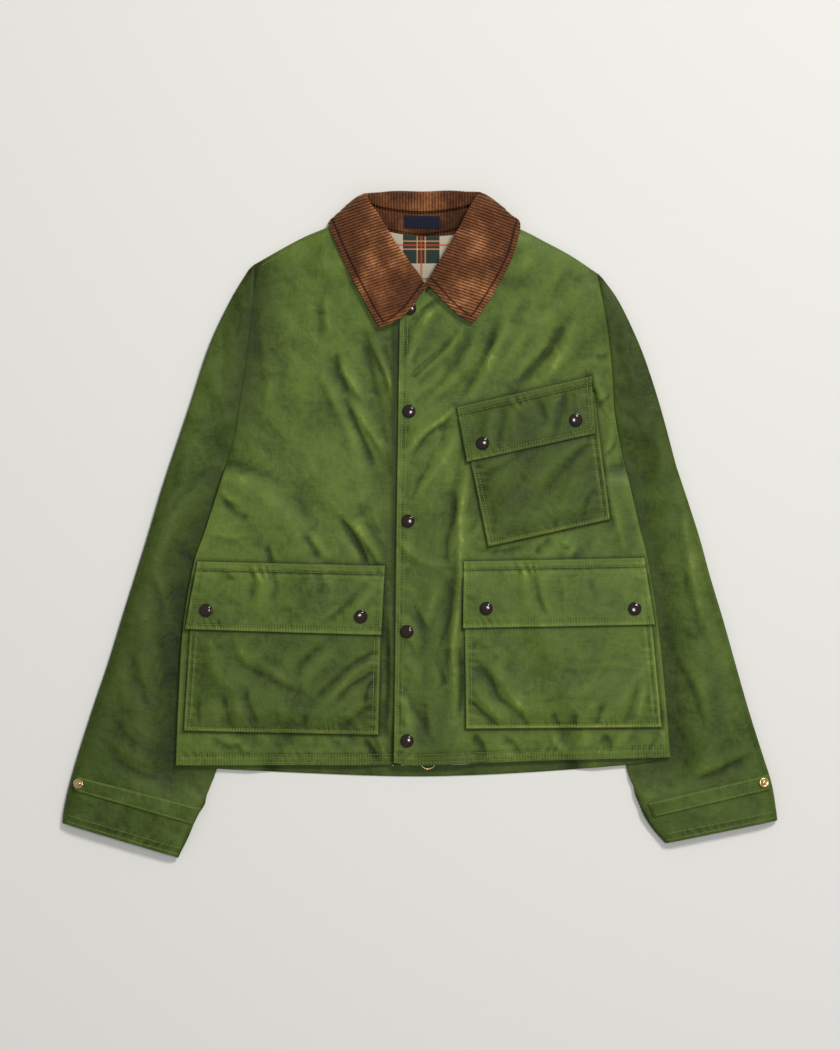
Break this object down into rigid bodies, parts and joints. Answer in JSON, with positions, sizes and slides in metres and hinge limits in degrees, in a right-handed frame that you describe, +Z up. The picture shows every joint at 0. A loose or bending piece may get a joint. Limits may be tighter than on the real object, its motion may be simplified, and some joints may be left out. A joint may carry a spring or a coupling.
{
  "type": "waxed cotton jacket",
  "caption": "Cropped waxed cotton field jacket laid flat on its back, with a corduroy collar, tartan lining, snap placket, flap pockets and cuff straps.",
  "frame": {"origin": "on the surface the jacket lies on, under the middle of its outline", "axes": "+X towards the wearer's left sleeve, +Y towards the collar, +Z up from the surface through the fronts"},
  "size_m": [0.807, 0.7506, 0.0302],
  "materials": {
    "waxed_cotton": "waxed cotton, dull sheen, worn along its creases",
    "corduroy": "brown needlecord, matt with a soft nap",
    "tartan": "cotton tartan in cream, navy green, yellow and red",
    "label": "plain navy woven label, blank",
    "lacquer": "gloss black brown lacquer over metal",
    "brass": "aged brass",
    "zip_tape": "woven zip tape"
  },
  "bodies": {
    "jacket": {"back_panel": "waxed_cotton", "front_right": "waxed_cotton", "front_left": "waxed_cotton", "sleeve_top_right": "waxed_cotton", "sleeve_under_right": "waxed_cotton", "sleeve_top_left": "waxed_cotton", "sleeve_under_left": "waxed_cotton", "strap_right": "waxed_cotton", "strap_left": "waxed_cotton", "pocket_right": "waxed_cotton", "pocket_left": "waxed_cotton", "pocket_chest": "waxed_cotton", "flap_right": "waxed_cotton", "flap_left": "waxed_cotton", "flap_chest": "waxed_cotton", "collar_stand": "corduroy", "collar_fall": "corduroy", "lining": "tartan", "label": "label", "zip_tape": "zip_tape", "zip_slider": "brass", "zip_bail": "brass", "stud_right": "brass", "stud_left": "brass", "snap_placket_1": "lacquer", "snap_placket_2": "lacquer", "snap_placket_3": "lacquer", "snap_placket_4": "lacquer", "snap_placket_5": "lacquer", "snap_right_1": "lacquer", "snap_right_2": "lacquer", "snap_left_1": "lacquer", "snap_left_2": "lacquer", "snap_chest_1": "lacquer", "snap_chest_2": "lacquer"},
    "pull_ring": {"zip_ring": "brass"}
  },
  "joints": [
    {"name": "ring_swing", "type": "hinge", "parent": "jacket", "child": "pull_ring", "pos_m": [0.0091, -0.25865, 0.00785], "axis": [-1, 0, 0], "range_deg": [0, 12]}
  ]
}
